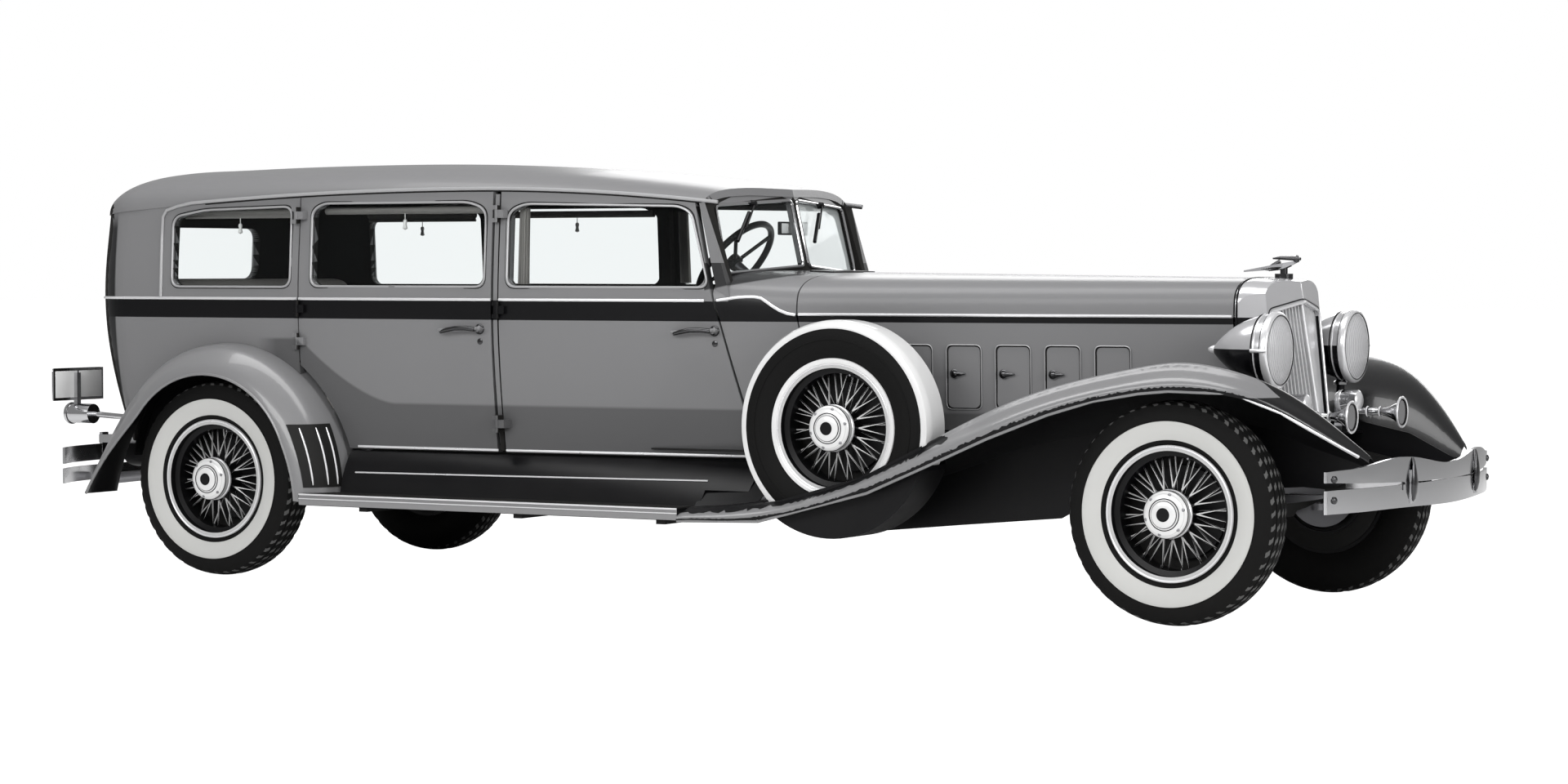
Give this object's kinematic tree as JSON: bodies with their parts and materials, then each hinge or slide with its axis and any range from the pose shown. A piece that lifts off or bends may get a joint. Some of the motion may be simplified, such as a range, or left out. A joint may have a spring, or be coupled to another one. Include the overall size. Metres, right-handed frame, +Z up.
{
  "type": "hearse",
  "caption": "Long limousine-bodied hearse of the early 1930s with swept fenders, wire wheels, side-mounted spares, opening doors and hood, and working steering.",
  "frame": {"origin": "on the ground, midway between the ends of the two bumpers and on the car's centre plane", "axes": "+X forward, +Y to the car's left, +Z up"},
  "size_m": [6.03, 1.8156, 1.7146],
  "materials": {
    "body_paint": "gloss grey cellulose with a black belt band",
    "fender_paint": "gloss grey cellulose outside, black inside",
    "black_paint": "gloss black enamel",
    "chassis_paint": "satin black chassis paint",
    "wheel_paint": "light enamel spokes, bright rim and cap",
    "bright": "polished chromium plate",
    "steel": "machined steel",
    "iron": "cast and painted iron",
    "tyre": "black tread with whitewalls",
    "glass": "clear plate glass",
    "lens": "fluted lamp glass",
    "seat_cloth": "dark pleated upholstery",
    "trim_wood": "polished dark wood",
    "floor_board": "dark floor boards under carpet",
    "rim_plastic": "black hard rubber steering wheel"
  },
  "bodies": {
    "root": {"chassis_frame": "chassis_paint", "front_axle": "chassis_paint", "rear_axle": "chassis_paint", "leaf_springs": "steel", "engine_block": "iron", "exhaust": "steel", "fuel_tank": "black_paint", "floor": "floor_board", "roof": "body_paint", "rear_body": "body_paint", "cowl": "body_paint", "windshield_frame": "body_paint", "fixed_glass": "glass", "radiator_shell": "bright", "grille": "bright", "radiator_cap": "bright", "headlamps": "bright", "lamp_lenses": "lens", "horns": "bright", "front_fenders": "fender_paint", "rear_fenders": "fender_paint", "running_boards": "black_paint", "spare_tyres": "tyre", "spare_wheels": "wheel_paint", "front_bumper": "bright", "rear_bumper": "bright", "tail_lamps": "bright", "front_seat": "seat_cloth", "rear_seat": "seat_cloth", "dashboard": "trim_wood", "steering_column": "steel"},
    "wheel_front_left": {"wheel_front_left": "wheel_paint", "tyre_front_left": "tyre"},
    "wheel_front_right": {"wheel_front_right": "wheel_paint", "tyre_front_right": "tyre"},
    "wheel_rear_left": {"wheel_rear_left": "wheel_paint", "tyre_rear_left": "tyre"},
    "wheel_rear_right": {"wheel_rear_right": "wheel_paint", "tyre_rear_right": "tyre"},
    "knuckle_left": {"knuckle_left": "steel"},
    "knuckle_right": {"knuckle_right": "steel"},
    "tie_rod": {"tie_rod": "steel"},
    "steering_wheel": {"steering_wheel": "rim_plastic"},
    "front_door_left": {"front_door_left": "body_paint", "front_door_glass_left": "glass"},
    "rear_door_left": {"rear_door_left": "body_paint", "rear_door_glass_left": "glass"},
    "hood_top_left": {"hood_top_left": "body_paint"},
    "hood_side_left": {"hood_side_left": "body_paint"},
    "front_door_right": {"front_door_right": "body_paint", "front_door_glass_right": "glass"},
    "rear_door_right": {"rear_door_right": "body_paint", "rear_door_glass_right": "glass"},
    "hood_top_right": {"hood_top_right": "body_paint"},
    "hood_side_right": {"hood_side_right": "body_paint"}
  },
  "joints": [
    {"name": "steering", "type": "hinge", "parent": "root", "child": "knuckle_left", "pos_m": [2.262, 0.625, 0.405], "axis": [0, 0, 1], "range_deg": [-30, 30]},
    {"name": "steering_right", "type": "hinge", "parent": "root", "child": "knuckle_right", "pos_m": [2.262, -0.625, 0.405], "axis": [0, 0, 1], "range_deg": [-30, 30]},
    {"name": "tie_rod_pivot", "type": "hinge", "parent": "knuckle_left", "child": "tie_rod", "pos_m": [2.112, 0.625, 0.3347], "axis": [0, 0, 1], "range_deg": [-30, 30]},
    {"name": "steering_wheel_turn", "type": "hinge", "parent": "root", "child": "steering_wheel", "pos_m": [-0.225, 0.35, 1.302], "axis": [-0.7793, 0, 0.6266], "range_deg": [-450, 450]},
    {"name": "wheel_front_left_spin", "type": "hinge", "parent": "knuckle_left", "child": "wheel_front_left", "pos_m": [2.262, 0.76, 0.405], "axis": [0, 1, 0], "continuous": true},
    {"name": "wheel_front_right_spin", "type": "hinge", "parent": "knuckle_right", "child": "wheel_front_right", "pos_m": [2.262, -0.76, 0.405], "axis": [0, 1, 0], "continuous": true},
    {"name": "wheel_rear_left_spin", "type": "hinge", "parent": "root", "child": "wheel_rear_left", "pos_m": [-2.045, 0.76, 0.405], "axis": [0, 1, 0], "continuous": true},
    {"name": "wheel_rear_right_spin", "type": "hinge", "parent": "root", "child": "wheel_rear_right", "pos_m": [-2.045, -0.76, 0.405], "axis": [0, 1, 0], "continuous": true},
    {"name": "front_door_left_swing", "type": "hinge", "parent": "root", "child": "front_door_left", "pos_m": [-0.711, 0.703, 1], "axis": [0, 0, 1], "range_deg": [0, 65]},
    {"name": "rear_door_left_swing", "type": "hinge", "parent": "root", "child": "rear_door_left", "pos_m": [-1.68, 0.73999, 1], "axis": [0, 0, 1], "range_deg": [0, 65]},
    {"name": "hood_left_lift", "type": "hinge", "parent": "root", "child": "hood_top_left", "pos_m": [0.575, 0, 1.2562], "axis": [0.9999, 0, -0.0112], "range_deg": [0, 50]},
    {"name": "hood_left_fold", "type": "hinge", "parent": "hood_top_left", "child": "hood_side_left", "pos_m": [0.575, 0.532, 1.097], "axis": [0.9892, -0.1465, 0], "range_deg": [-50, 0]},
    {"name": "front_door_right_swing", "type": "hinge", "parent": "root", "child": "front_door_right", "pos_m": [-0.711, -0.703, 1], "axis": [0, 0, -1], "range_deg": [0, 65]},
    {"name": "rear_door_right_swing", "type": "hinge", "parent": "root", "child": "rear_door_right", "pos_m": [-1.68, -0.73999, 1], "axis": [0, 0, -1], "range_deg": [0, 65]},
    {"name": "hood_right_lift", "type": "hinge", "parent": "root", "child": "hood_top_right", "pos_m": [0.575, 0, 1.2562], "axis": [-0.9999, 0, 0.0112], "range_deg": [0, 50]},
    {"name": "hood_right_fold", "type": "hinge", "parent": "hood_top_right", "child": "hood_side_right", "pos_m": [0.575, -0.532, 1.097], "axis": [-0.9892, -0.1465, 0], "range_deg": [-50, 0]}
  ],
  "couplings": [
    {"joint": "steering_right", "follows": "steering", "ratio": 1},
    {"joint": "tie_rod_pivot", "follows": "steering", "ratio": -1},
    {"joint": "steering_wheel_turn", "follows": "steering", "ratio": 15},
    {"joint": "hood_left_fold", "follows": "hood_left_lift", "ratio": -1},
    {"joint": "hood_right_fold", "follows": "hood_right_lift", "ratio": -1}
  ]
}
